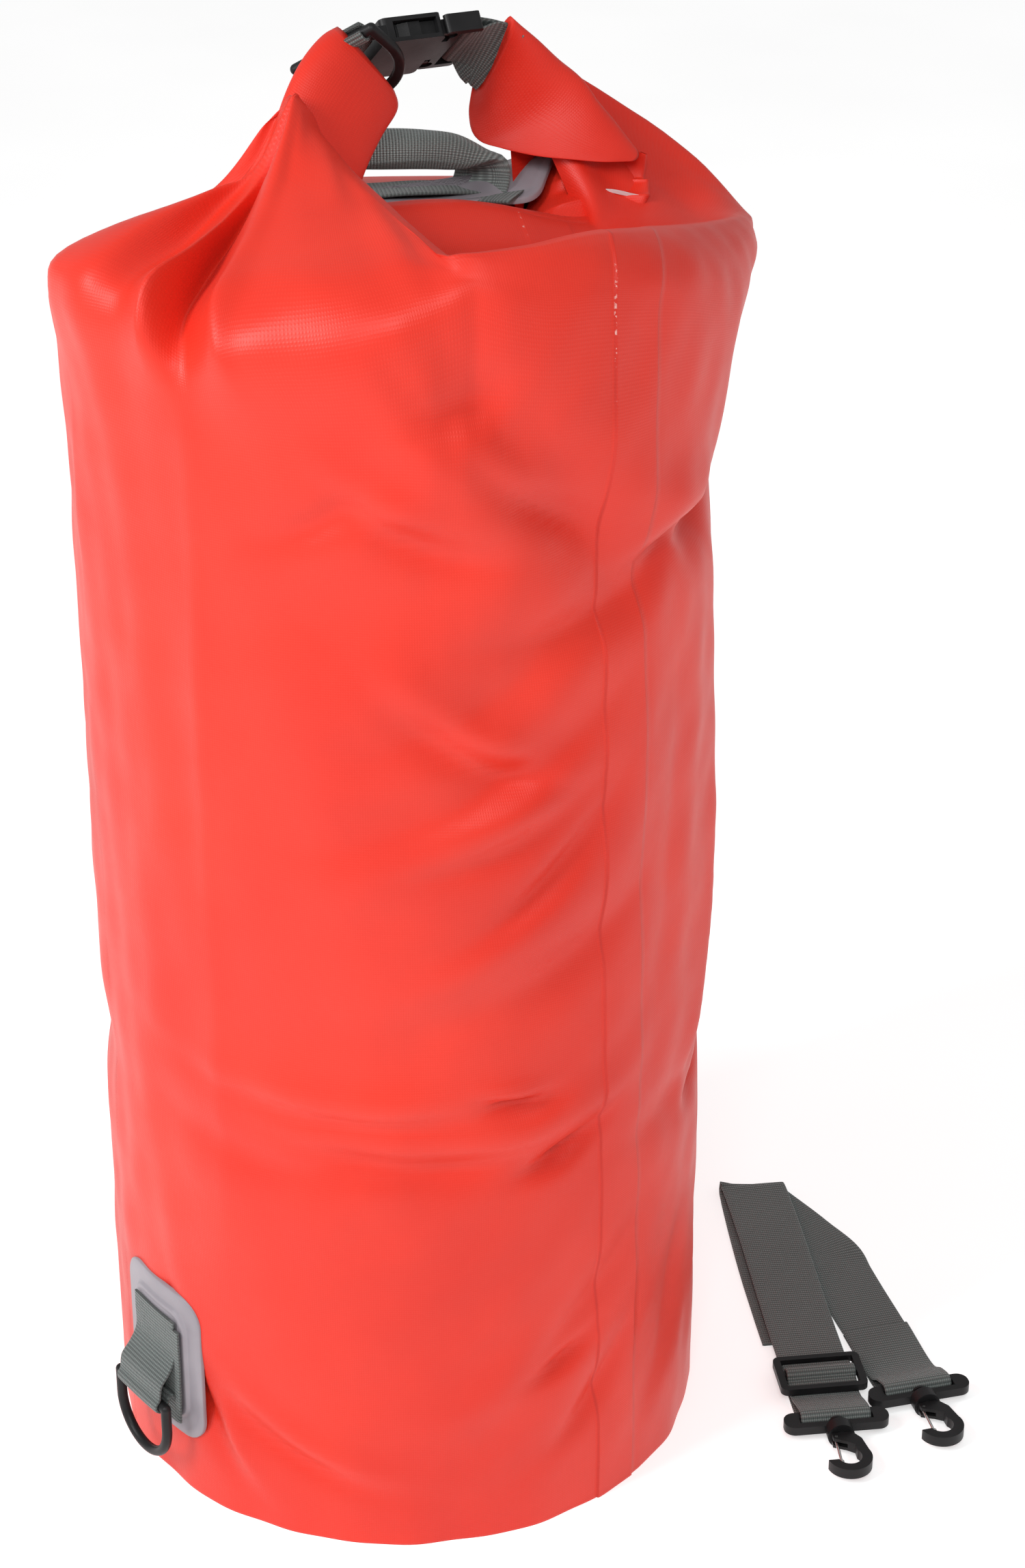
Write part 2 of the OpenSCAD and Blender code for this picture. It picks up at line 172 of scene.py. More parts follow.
def loft(name, stations, material, body, around, power=2.6, caps=(0.0, 0.0)):
    """Closed form through stations: centre, half-width vector and half-thickness vector."""
    s = np.asarray(stations, float).reshape(len(stations), 9)
    data, run = resample(s, 2.0)
    angle = np.linspace(0, 2 * np.pi, around, endpoint=False)
    c, d = np.cos(angle), np.sin(angle)
    c = np.sign(c) * np.abs(c) ** (2 / power)
    d = np.sign(d) * np.abs(d) ** (2 / power)
    rows = []
    tangent = unit(np.gradient(data[:, :3], axis=0))
    first = [(0.35, 1.0), (0.7, 0.8), (0.9, 0.45), (1.0, 0.0)]
    for k, (end, way) in enumerate(((0, -1), (-1, 1))):
        ring = []
        for size, out in first:
            ring.append(data[end, :3] + tangent[end] * way * caps[k] * out
                        + size * (np.outer(c, data[end, 3:6]) + np.outer(d, data[end, 6:9])))
        rows.append(ring)
    body_rows = [row[:3] + np.outer(c, row[3:6]) + np.outer(d, row[6:9]) for row in data]
    rings = rows[0][:-1] + body_rows + rows[1][:-1][::-1]
    points = np.concatenate(rings)
    run_all = np.concatenate([[0] * 3, run, [run[-1]] * 3])
    girth = angle / (2 * np.pi) * 120
    uv = np.stack([np.tile(girth, len(rings)), np.repeat(run_all, around)], 1)
    faces = grid_faces(len(rings), around, closed=True)
    points = np.vstack([points, rings[0].mean(0) - tangent[0] * caps[0] * 0.1,
                        rings[-1].mean(0) + tangent[-1] * caps[1] * 0.1])
    uv = np.vstack([uv, [0, 0], [0, 0]])
    base, top = len(points) - 2, len(points) - 1
    last = (len(rings) - 1) * around
    for i in range(around):
        j = (i + 1) % around
        faces.append((i, base, j))
        faces.append((last + i, last + j, top))
    piece = make(name, points, faces, material, body, uv)
    return piece


# ---------------- materials

def nodes_of(name):
    material = bpy.data.materials.new(name)
    material.use_nodes = True
    tree = material.node_tree
    return material, tree, tree.nodes["Principled BSDF"]


def plain(shader, **values):
    """Set inputs by name, with _ for a space."""
    for name, value in values.items():
        shader.inputs[name.replace("_", " ")].default_value = value


def add(tree, kind, inputs=None, **settings):
    node = tree.nodes.new(kind)
    for key, value in settings.items():
        setattr(node, key, value)
    for key, value in (inputs or {}).items():
        if isinstance(value, bpy.types.NodeSocket):
            tree.links.new(value, node.inputs[key])
        else:
            node.inputs[key].default_value = value
    return node


def maths(tree, kind, a, b=0.0, c=0.0, clamp=False):
    return add(tree, "ShaderNodeMath", {0: a, 1: b, 2: c}, operation=kind, use_clamp=clamp).outputs[0]


def ramp(tree, fac, stops):
    node = add(tree, "ShaderNodeValToRGB", {"Fac": fac})
    marks = node.color_ramp.elements
    while len(marks) < len(stops):
        marks.new(0.5)
    for mark, (at, colour) in zip(marks, stops):
        mark.position = at
        mark.color = (*colour, 1) if hasattr(colour, "__len__") else (colour, colour, colour, 1)
    return node.outputs["Color"]


def noise(tree, scale, detail=3, rough=0.5, vector=None):
    inputs = {"Scale": scale, "Detail": detail, "Roughness": rough}
    if vector is not None:
        inputs["Vector"] = vector
    return add(tree, "ShaderNodeTexNoise", inputs).outputs["Fac"]


def mix(tree, fac, a, b, blend="MIX"):
    node = add(tree, "ShaderNodeMix", data_type="RGBA", blend_type=blend)
    for key, value in ((0, fac), (6, a), (7, b)):
        if isinstance(value, bpy.types.NodeSocket):
            tree.links.new(value, node.inputs[key])
        else:
            node.inputs[key].default_value = value if key == 0 else (*value, 1)
    return node.outputs[2]


def object_vector(tree):
    return add(tree, "ShaderNodeTexCoord").outputs["Object"]


def bumps(tree, shader, layers):
    """layers: (height socket, distance in metres, strength)"""
    normal = None
    for height, distance, strength in layers:
        node = add(tree, "ShaderNodeBump", {"Height": height, "Distance": distance, "Strength": strength})
        if normal is not None:
            tree.links.new(normal, node.inputs["Normal"])
        normal = node.outputs["Normal"]
    tree.links.new(normal, shader.inputs["Normal"])


def coated_fabric(name, seam=False):
    """Red PVC-coated fabric: satin, with the scrim's threads showing faintly, scuffs and a lap seam."""
    material, tree, shader = nodes_of(name)
    uv = add(tree, "ShaderNodeUVMap", uv_map="cloth").outputs["UV"]
    place_of = object_vector(tree)
    split = add(tree, "ShaderNodeSeparateXYZ", {"Vector": uv})
    u, v = split.outputs[0], split.outputs[1]
    thread = 2 * math.pi / 0.00115
    warp = maths(tree, "SINE", maths(tree, "MULTIPLY", u, thread))
    weft = maths(tree, "SINE", maths(tree, "MULTIPLY", v, thread))
    weave = maths(tree, "ADD", maths(tree, "MAXIMUM", warp, weft), maths(tree, "MULTIPLY", warp, weft))
    cloud = noise(tree, 7, 4, 0.55, place_of)
    fine = noise(tree, 420, 3, 0.6, place_of)
    patchy = noise(tree, 38, 4, 0.6, place_of)
    deep, bright = (0.64, 0.019, 0.008), (0.77, 0.033, 0.015)
    colour = ramp(tree, cloud, [(0.3, deep), (0.72, bright)])
    colour = mix(tree, maths(tree, "MULTIPLY", ramp(tree, patchy, [(0.45, 0.0), (0.75, 1.0)]), 0.1),
                 colour, (0.62, 0.03, 0.014))
    colour = mix(tree, maths(tree, "MULTIPLY_ADD", weave, 0.03, 0.03), colour, (0.95, 0.1, 0.055))
    rough = maths(tree, "MULTIPLY_ADD", patchy, 0.14, 0.36)
    layers = [(weave, 0.00009, 0.35), (fine, 0.00012, 0.35), (patchy, 0.0012, 0.22)]
    if seam:
        drift = maths(tree, "SUBTRACT", noise(tree, 60, 3, 0.6, place_of), 0.5)
        wander = maths(tree, "MULTIPLY", drift, 0.0007)
        across_seam = maths(tree, "ADD", u, wander)
        for edge, deepness in SEAM_EDGES:
            off = maths(tree, "ABSOLUTE", maths(tree, "SUBTRACT", across_seam, edge))
            line = maths(tree, "SUBTRACT", 1.0, maths(tree, "DIVIDE", off, 0.0008), clamp=True)
            line = maths(tree, "MULTIPLY", line, maths(tree, "LESS_THAN", v, SEAM_TOP))
            colour = mix(tree, maths(tree, "MULTIPLY", line, deepness), colour, (0.38, 0.012, 0.006))
            layers.append((line, 0.0009, 0.5 * deepness))
            if deepness > 0.4:
                speck = ramp(tree, noise(tree, 520, 2, 0.5, place_of), [(0.56, 0.0), (0.6, 1.0)])
                spread = ramp(tree, noise(tree, 26, 2, 0.5, place_of), [(0.52, 0.0), (0.62, 1.0)])
                thin = maths(tree, "SUBTRACT", 1.0, maths(tree, "DIVIDE", off, 0.0005), clamp=True)
                high = maths(tree, "MULTIPLY", maths(tree, "GREATER_THAN", v, 0.60), 0.6)
                white = maths(tree, "MULTIPLY", maths(tree, "MULTIPLY", speck, spread),
                              maths(tree, "MULTIPLY", thin, high))
                colour = mix(tree, white, colour, (0.9, 0.72, 0.66))
    tree.links.new(colour, shader.inputs["Base Color"])
    tree.links.new(rough, shader.inputs["Roughness"])
    plain(shader, Specular_IOR_Level=0.36, Sheen_Weight=0.03, Sheen_Roughness=0.4,
          Sheen_Tint=(1, 0.55, 0.5, 1))
    bumps(tree, shader, layers)
    return material


def webbing(name, tint=1.0, pitch=1.9):
    """Grey ribbed polyester webbing; u runs along the strip and v across it, in metres."""
    material, tree, shader = nodes_of(name)
    uv = add(tree, "ShaderNodeUVMap", uv_map="cloth").outputs["UV"]
    place_of = object_vector(tree)
    split = add(tree, "ShaderNodeSeparateXYZ", {"Vector": uv})
    u, v = split.outputs[0], split.outputs[1]
    rib_turn, column_turn = math.pi / (pitch * MM), math.pi / 0.00118
    rib = maths(tree, "SINE", maths(tree, "MULTIPLY", u, 2 * rib_turn))
    column = maths(tree, "SINE", maths(tree, "MULTIPLY", v, 2 * column_turn))
    stagger = maths(tree, "SINE", maths(tree, "MULTIPLY_ADD", u, rib_turn,
                                        maths(tree, "MULTIPLY", v, column_turn)))
    weave = maths(tree, "ADD", maths(tree, "MULTIPLY", rib, 0.62), maths(tree, "MULTIPLY", column, 0.34))
    knots = maths(tree, "MULTIPLY", maths(tree, "MAXIMUM", rib, 0.0), maths(tree, "MAXIMUM", column, 0.0))
    fuzz = noise(tree, 900, 3, 0.65, place_of)
    cloud = noise(tree, 45, 3, 0.5, place_of)

    def tinted(*colour):
        return tuple(tint * x for x in colour)

    base = ramp(tree, maths(tree, "MULTIPLY_ADD", weave, 0.35, 0.5),
                [(0.1, tinted(0.022, 0.028, 0.027)), (0.55, tinted(0.105, 0.125, 0.12)),
                 (0.95, tinted(0.175, 0.205, 0.197))])
    for fac, share, colour in ((knots, 0.5, (0.34, 0.385, 0.37)), (fuzz, 0.3, (0.07, 0.08, 0.078)),
                               (cloud, 0.25, (0.16, 0.18, 0.17))):
        base = mix(tree, maths(tree, "MULTIPLY", fac, share), base, tinted(*colour))
    tree.links.new(base, shader.inputs["Base Color"])
    plain(shader, Roughness=0.62, Specular_IOR_Level=0.35, Sheen_Weight=0.2)
    bumps(tree, shader, [(weave, 0.00045, 0.75), (stagger, 0.0001, 0.25), (fuzz, 0.0002, 0.4)])
    return material


def plain_patch(name, dark=(0.235, 0.215, 0.24), light=(0.33, 0.305, 0.335)):
    """Grey welded PVC: satin, finely pebbled."""
    material, tree, shader = nodes_of(name)
    place_of = object_vector(tree)
    cloud = noise(tree, 22, 4, 0.5, place_of)
    grain = noise(tree, 1500, 2, 0.5, place_of)
    colour = ramp(tree, cloud, [(0.3, dark), (0.7, light)])
    tree.links.new(colour, shader.inputs["Base Color"])
    tree.links.new(maths(tree, "MULTIPLY_ADD", cloud, 0.16, 0.34), shader.inputs["Roughness"])
    bumps(tree, shader, [(grain, 0.00012, 0.4), (cloud, 0.0012, 0.2)])
    return material


def moulded(name, tint=(0.007, 0.007, 0.0075)):
    """Black moulded plastic: satin, with faint mould texture and rubbed highlights."""
    material, tree, shader = nodes_of(name)
    place_of = object_vector(tree)
    grain = noise(tree, 1300, 3, 0.6, place_of)
    cloud = noise(tree, 60, 4, 0.6, place_of)
    colour = ramp(tree, cloud, [(0.35, tint), (0.75, tuple(1.9 * x for x in tint))])
    tree.links.new(colour, shader.inputs["Base Color"])
    tree.links.new(maths(tree, "MULTIPLY_ADD", cloud, 0.2, 0.34), shader.inputs["Roughness"])
    plain(shader, Specular_IOR_Level=0.26)
    bumps(tree, shader, [(grain, 0.00012, 0.35), (cloud, 0.0006, 0.2)])
    return material


def metal(name):
    material, tree, shader = nodes_of(name)
    place_of = object_vector(tree)
    streak = noise(tree, 700, 3, 0.6, place_of)
    tree.links.new(ramp(tree, streak, [(0.3, (0.55, 0.55, 0.54)), (0.7, (0.8, 0.79, 0.77))]),
                   shader.inputs["Base Color"])
    tree.links.new(maths(tree, "MULTIPLY_ADD", streak, 0.15, 0.16), shader.inputs["Roughness"])
    plain(shader, Metallic=1)
    bumps(tree, shader, [(streak, 0.0001, 0.3)])
    return material


RADIUS = 155
# the lap seam's two edges in degrees round the bag, and how far up the cloth they show, in metres
SEAM_LEFT, SEAM_RIGHT = 16.0, 25.6
SEAM_TOP = 0.715
SEAM_EDGES = ((math.radians(SEAM_LEFT) * RADIUS * MM, 0.42), (math.radians(SEAM_RIGHT) * RADIUS * MM, 0.18))

RED = coated_fabric("coated_fabric_seamed", seam=True)
RED_PLAIN = coated_fabric("coated_fabric_plain")
WEB = webbing("webbing_ribbed")
# the grip is the ribbed webbing with finer ribs, painted 1.6 times lighter: painted light for the handle on
# top of the bag
WEB_GRIP_LIT = webbing("webbing_grip_lit", 1.6, 1.5)
PATCH = plain_patch("welded_patch")
RAW_EDGE = plain_patch("raw_edge", (0.5, 0.44, 0.45), (0.85, 0.8, 0.8))
BLACK = moulded("moulded_black")
STEEL = metal("steel_wire")


# ---------------- bag fabric

# The points past the fold that four lines on the left share.
LEFT_PAST = [(-38, 9, 712), (-32, 14, 702), (-28, 17, 690), (-24, 19, 676)]
# Lines up the folded top: angle round the bag (0 is the front, positive to the right), then in mm
# the points from the tube up to the fold edge, and the points past the fold down to the roll.
RISE = [
    (-94, [(-156, 10, 540), (-158, 9, 603), (-164, 10, 642), (-159, 10, 656), (-130, 9, 667),
           (-89, 10, 674), (-64, 10, 681), (-46, 9, 714)],
     [(-40, 12, 712), (-34, 16, 702), (-30, 18, 690), (-26, 20, 676)]),
    (-90, [(-155.6, 2, 540), (-158.5, 2, 603), (-165, 2, 643), (-161, 1, 657), (-131, 3, 669),
           (-90, 5, 676), (-65, 5, 682), (-46, 5, 715)], LEFT_PAST),
    (-80, [(-153, -27, 540), (-156.5, -26, 605), (-162, -26, 645), (-154, -25, 661), (-123, -13, 673),
           (-85, 0, 680), (-65, 3, 685), (-45.5, 4.5, 716)], LEFT_PAST),
    (-71, [(-147, -50, 540), (-148, -50, 605), (-149, -49, 644), (-141, -40, 656), (-109, -20, 661),
           (-85, -5, 671), (-65, 1, 685), (-45, 4, 716.5)], LEFT_PAST),
    (-65, [(-140.5, -65.5, 540), (-143, -66, 605), (-148, -65, 647), (-140, -61, 665), (-115, -48, 671),
           (-84, -18, 674), (-64, -3, 685), (-45, 3.5, 716)], LEFT_PAST),
    (-57, [(-130, -84.4, 540), (-130, -84, 600), (-131, -75, 629), (-121, -56, 642), (-101, -35, 652),
           (-77, -13, 665), (-60, -4, 687), (-44.5, 3, 716)],
     [(-38, 8, 712), (-31, 14, 702), (-27, 17, 690), (-23, 19, 676)]),
    (-50, [(-119, -100, 540), (-120, -100, 602), (-127, -99, 640), (-122, -87, 658), (-103, -66, 669),
           (-81, -40, 681), (-62, -18, 697), (-45, 2, 716)],
     [(-38, 7, 711), (-31, 13, 701), (-26, 16, 689), (-22, 18, 675)]),
    (-41, [(-101.7, -117, 540), (-102, -118, 603), (-116, -107, 645), (-104, -91, 663), (-89, -69, 672),
           (-74, -50, 681), (-58, -26, 692.5), (-43, -1, 712)],
     [(-36, 4, 708), (-30, 10, 698), (-25, 14, 686), (-21, 17, 672)]),
    (-33, [(-84.4, -130, 540), (-86, -131, 604), (-93, -127, 650), (-86, -109, 668), (-76, -84, 675),
           (-66, -63, 681), (-53, -37, 689.5), (-41, -6, 704)],
     [(-34, -1, 700), (-28, 6, 690), (-24, 10, 676), (-20, 13, 662)]),
    (-26, [(-68, -139.3, 540), (-68, -140, 605), (-73, -138, 655), (-70, -119, 670), (-62, -91, 677),
           (-55, -69, 682), (-46, -45, 689), (-37, -16, 697.5)],
     [(-30, -11, 693), (-25, -2, 682), (-20, 2, 668), (-16, 5, 655)]),
    (-21, [(-55.5, -144.7, 540), (-55, -146, 606), (-58, -144, 658), (-56, -123, 672), (-51, -99, 678),
           (-46, -77, 682), (-40, -54, 686), (-34, -30, 691)],
     [(-27, -26, 687), (-22, -16, 674), (-17, -10, 661), (-12, -8, 649)]),
    (-17, [(-45.3, -148, 540), (-45, -150, 606), (-47, -146, 660), (-46, -129, 674), (-42, -109, 680),
           (-39, -89, 683), (-35.5, -67, 685), (-32, -44, 687.5)],
     [(-26, -41, 684), (-21, -34, 668), (-17, -22, 659), (-14, -10, 660)]),
    (-14, [(-37.5, -150.4, 540), (-37, -152, 606), (-38, -147, 662), (-37.5, -135, 673), (-36, -120, 677),
           (-34, -105, 679.5), (-32, -89, 681.5), (-30.5, -72, 683)],
     [(-24, -70, 679), (-18, -54, 662), (-14, -36, 654), (-12, -12, 663)]),
    (-12, [(-32, -151.6, 540), (-31, -154, 606), (-31, -148, 664), (-32, -140, 673), (-32, -130, 676.5),
           (-31.5, -120, 678.5), (-30.5, -110, 679.5), (-29.5, -99, 680)],
     [(-23, -96, 676), (-16, -68, 658), (-11, -38, 653), (-8, -12, 664)]),
    (-10, [(-27, -152.6, 540), (-26, -155, 606), (-25, -148, 666), (-27, -143, 673), (-29, -138, 676),
           (-30, -133, 677.5), (-30.5, -129, 678), (-30.5, -124, 678.5)],
     [(-23, -120, 675), (-14, -80, 656), (-8, -42, 652), (-3, -12, 664)]),
    (-7, [(-19, -153.8, 540), (-19, -157, 606), (-19, -150, 664), (-20, -146, 673), (-21, -143, 677),
          (-21.5, -140, 679.5), (-22, -138, 680.3), (-22, -134, 680.6)],
     [(-18, -126, 677), (-10, -82, 656), (-2, -43, 651), (4, -12, 663.5)]),
    (-3, [(-8, -154.8, 540), (-8, -158, 606), (-9, -153, 660), (-9.5, -149, 671), (-10, -146, 676.5),
          (-10, -143, 679.3), (-10, -140.5, 680.6), (-10, -138, 681)],
     [(-8, -128, 678), (-2, -82, 656), (6, -43, 650.5), (13, -12, 663)]),
    (3, [(8, -154.8, 540), (8, -158, 604), (8, -154, 655), (8, -151, 667), (8, -148, 674),
         (8, -145, 678), (8, -142, 680.2), (8, -138.5, 681)],
     [(9, -128, 678), (12, -82, 656), (20, -43, 650), (29, -12, 661.5)]),
    (12, [(32, -151.6, 540), (33, -154, 602), (33, -150, 652), (34, -147, 664), (35, -144, 671.5),
          (36, -140, 676.5), (37, -136, 679), (38, -131, 680)],
     [(38, -120, 677), (38, -78, 655), (42, -42, 647), (50, -12, 656.5)]),
    (22, [(58, -143.7, 540), (59, -145, 600), (60, -141, 646), (62, -139, 657), (64, -135, 664),
          (66, -130, 669), (68, -124, 672), (70, -115, 673.5)],
     [(70, -104, 670), (68, -74, 652), (71, -42, 641), (75, -14, 648)]),
    (33, [(84.4, -130, 540), (86, -131, 598), (88, -130, 638), (91, -127, 648), (94, -121, 655),
          (96.5, -113, 660), (98.5, -104, 663), (100, -93, 664)],
     [(98, -82, 661), (96, -54, 645), (98, -30, 639), (100, -10, 642)]),
    (47, [(113.4, -105.7, 540), (117, -108, 594), (121, -106, 624), (126, -99, 634), (130, -91, 640.5),
          (133, -82, 646), (135, -72, 650.5), (136, -61, 652)],
     [(131, -49, 648), (126, -24, 642), (120, 4, 650), (104, 22, 672)]),
    (62, [(137, -73, 540), (142, -76, 588), (150, -73, 612), (156, -66, 621.5), (161, -57, 629),
          (165, -48, 635), (167.5, -38, 639), (169, -27, 640.5)],
     [(161, -15, 638), (150, 2, 643), (125, 21, 668), (100, 32, 692)]),
    (78, [(151.8, -32, 540), (156, -33, 584), (163, -32, 606), (172, -28, 614.5), (183, -21, 621),
          (187, -14, 626), (190, -6, 629.5), (191, 2, 631)],
     [(181, 10, 640), (161, 22, 656), (119, 34, 689), (98, 38, 703)]),
    (90, [(155, 0, 540), (159, 1, 584), (167, 3, 604), (177, 5, 611.5), (187, 7, 617.5),
          (194, 8.5, 622), (195.5, 10, 626), (194, 12, 630)],
     [(185, 20, 643), (166, 30, 663), (119, 39, 697), (96, 41, 711)]),
    (97, [(154, 19, 540), (158, 18, 584), (166, 15, 605), (176, 14, 612.5), (186, 13.5, 618.5),
          (193, 14, 623), (194.5, 15, 627), (193, 17, 631)],
     [(184, 25, 642.5), (165, 36, 662), (119, 44, 695), (96, 45, 707)]),
    (112, [(143.7, 58, 540), (150, 56, 588), (156, 54, 611), (160, 51, 622), (162, 49, 630),
           (160, 47, 637), (156, 46, 643), (149, 46, 649)],
     [(138, 47, 657), (125, 48, 667), (110, 49, 680), (96, 49, 693)]),
    (131, [(117, 101.7, 540), (120, 102, 592), (122, 98, 612), (121, 94, 621), (119, 89, 628),
           (116, 83, 635), (112, 77, 640), (108, 70, 645.5)],
     [(104, 62, 649.5), (98, 53, 651), (90, 42, 647), (82, 30, 639)]),
    (150, [(77.5, 134, 540), (78, 135, 598), (78, 131, 615), (77, 126, 624), (76, 119, 630),
           (74, 110, 634.5), (72, 100, 638), (70, 90, 640.5)],
     [(69, 78, 642.5), (68, 64, 644), (67, 48, 645), (66, 30, 644)]),
    (180, [(0, 155, 540), (0, 156, 600), (0, 152, 617), (0, 147, 626), (0, 139, 632),
           (0, 129, 636.5), (0, 117, 640), (0, 104, 642.5)],
     [(2, 88, 645), (4, 70, 646.5), (6, 50, 647.5), (8, 28, 646)]),
    (210, [(-77.5, 134, 540), (-78, 135, 600), (-77, 131, 618), (-75, 125, 628), (-72, 117, 635),
           (-68, 107, 640), (-64, 96, 644), (-60, 84, 647)],
     [(-54, 71, 650), (-48, 57, 653), (-42, 42, 656), (-36, 26, 657)]),
    (235, [(-127, 89, 540), (-128, 90, 602), (-128, 86, 622), (-122, 80, 633), (-113, 70, 642),
           (-102, 59, 650), (-90, 48, 657), (-79, 39, 664)],
     [(-70, 33, 670), (-60, 28, 676), (-50, 23, 685), (-42, 20, 692)]),
    (254, [(-149, 42.7, 540), (-151, 42, 602), (-154, 38, 634), (-146, 34, 647), (-124, 28, 656),
           (-94, 22, 665), (-76, 18, 671), (-63, 15, 680)],
     [(-56, 13, 700), (-50, 12, 706), (-44, 12, 710), (-38, 14, 706)]),
]

# Soft dents and folds: angle, height, half length, half width in mm, slope of the fold in degrees
# from level, depth inwards in mm before it is multiplied by FOLD_DEPTH, and how sharp its bottom is.
DENTS = [
    (-2, 590, 95, 26, -52, 5.0, 0.35), (-14, 600, 80, 30, -50, -4.0, 0.2),
    (12, 545, 60, 22, -60, 3.5, 0.3), (-28, 520, 60, 34, 20, 3.0, 0.1),
    (18, 505, 70, 16, 12, 4.0, 0.4), (-8, 470, 60, 22, 28, 3.0, 0.2),
    (52, 520, 40, 18, 8, 9.0, 0.45), (40, 540, 50, 20, -20, -4.0, 0.2),
    (-5, 425, 80, 20, 24, 4.5, 0.3), (-12, 400, 70, 20, 20, -3.5, 0.15),
    (4, 375, 55, 12, 38, 4.0, 0.5), (-6, 345, 70, 22, 30, -3.0, 0.2),
    (10, 330, 60, 18, 25, 3.0, 0.3), (-30, 300, 90, 40, 5, 2.5, 0.1),
    (-20, 226, 75, 13, -3, 4.0, 0.45), (8, 222, 26, 7, 22, 5.0, 0.7), (0, 240, 60, 16, 8, -3.0, 0.2),
    (-50, 222, 50, 15, -6, 2.5, 0.3), (56, 205, 26, 8, 15, 5.0, 0.55), (40, 215, 50, 16, 10, 2.5, 0.3),
    (10, 120, 55, 16, 40, 3.0, 0.35), (-4, 95, 55, 18, 32, -2.5, 0.2), (16, 70, 40, 10, 50, 3.0, 0.5),
    (-66, 60, 60, 10, -62, 3.0, 0.5), (-56, 40, 50, 10, -60, -2.0, 0.4), (40, 90, 60, 20, 70, 2.5, 0.2),
    (-72, 330, 140, 26, 84, -2.0, 0.1), (38, 400, 150, 22, 86, 2.0, 0.2), (58, 330, 120, 14, 80, -3.0, 0.4),
    (120, 420, 90, 24, 18, 5.0, 0.3), (150, 330, 80, 20, -15, 4.0, 0.4), (185, 500, 110, 26, 30, 5.0, 0.3),
    (210, 380, 90, 18, 12, 4.0, 0.4), (235, 250, 90, 24, -20, 4.0, 0.3), (170, 200, 90, 20, 8, 4.0, 0.4),
    (140, 120, 70, 18, 25, 3.5, 0.3), (200, 90, 80, 20, -10, 3.0, 0.3), (160, 440, 60, 14, -40, 3.0, 0.5),
    (-22, 631, 38, 10, -62, 3.0, 0.5), (-25, 641, 34, 10, -62, -2.0, 0.3), (-10, 618, 26, 8, 19, 2.8, 0.6),
    (-36, 562, 30, 10, 27, 2.6, 0.4), (-20, 553, 44, 11, -24, 3.0, 0.45), (-23, 571, 36, 12, -28, -2.2, 0.3),
    (-10, 442, 50, 12, -30, 3.2, 0.45), (-10, 458, 44, 12, -34, -2.4, 0.3), (-5, 396, 54, 12, 17, 3.2, 0.45),
    (-6, 416, 46, 12, 19, -2.4, 0.3), (-2, 257, 20, 5, -6, 3.6, 0.8),
    (-2, 264, 18, 6, -4, -2.0, 0.4), (-32, 250, 80, 9, -2, 2.4, 0.6), (-32, 262, 80, 12, -2, -1.6, 0.3),
    (-44, 46, 60, 8, -26, 2.4, 0.6), (-42, 58, 56, 10, -26, -1.6, 0.3), (37, 526, 44, 9, 16, 3.2, 0.6),
    (8, 97, 22, 6, 24, 3.0, 0.7), (0, 566, 40, 10, -33, 3.0, 0.6), (1, 580, 40, 13, -33, -2.0, 0.3),
]
FOLD_DEPTH, CRISP_SHARE = 1.7, 1.4
CREASE_AT = -58.5


def smooth_step(t):
    t = np.clip(t, 0, 1)
    return t * t * (3 - 2 * t)


def dents(phi, z):
    """Inward depth in mm on the tube at angle phi (degrees) and height z (mm)."""
    total = np.zeros(np.broadcast(phi, z).shape)
    for angle, height, length, width, slope, depth, sharp in DENTS:
        dx = ((phi - angle + 180) % 360 - 180) * math.pi / 180 * RADIUS
        dz = z - height
        a = math.radians(slope)
        along = dx * math.cos(a) + dz * math.sin(a)
        bow = 0.12 * along * along / length
        side = -dx * math.sin(a) + dz * math.cos(a) - bow
        fall = np.exp(-(along / length) ** 2 * 1.4)
        soft = np.exp(-(side / width) ** 2 * 1.3)
        crisp = np.exp(-(np.sqrt(side ** 2 + 4) - 2) / (0.5 * width))
        total += FOLD_DEPTH * depth * fall * ((1 - sharp) * soft + CRISP_SHARE * sharp * crisp)
    return total


def fabric_columns():
    even = np.arange(-94, 266, 1.2)
    edges = [SEAM_LEFT - 0.12, SEAM_LEFT, SEAM_LEFT + 0.2, SEAM_RIGHT - 0.4, SEAM_RIGHT, SEAM_RIGHT + 0.2]
    return np.unique(np.round(np.concatenate([even, edges]), 3))


# the height where the RISE lines leave the plain tube, and the rows' spacing, in mm
TUBE_TOP, ROW_STEP = 430, 4.2


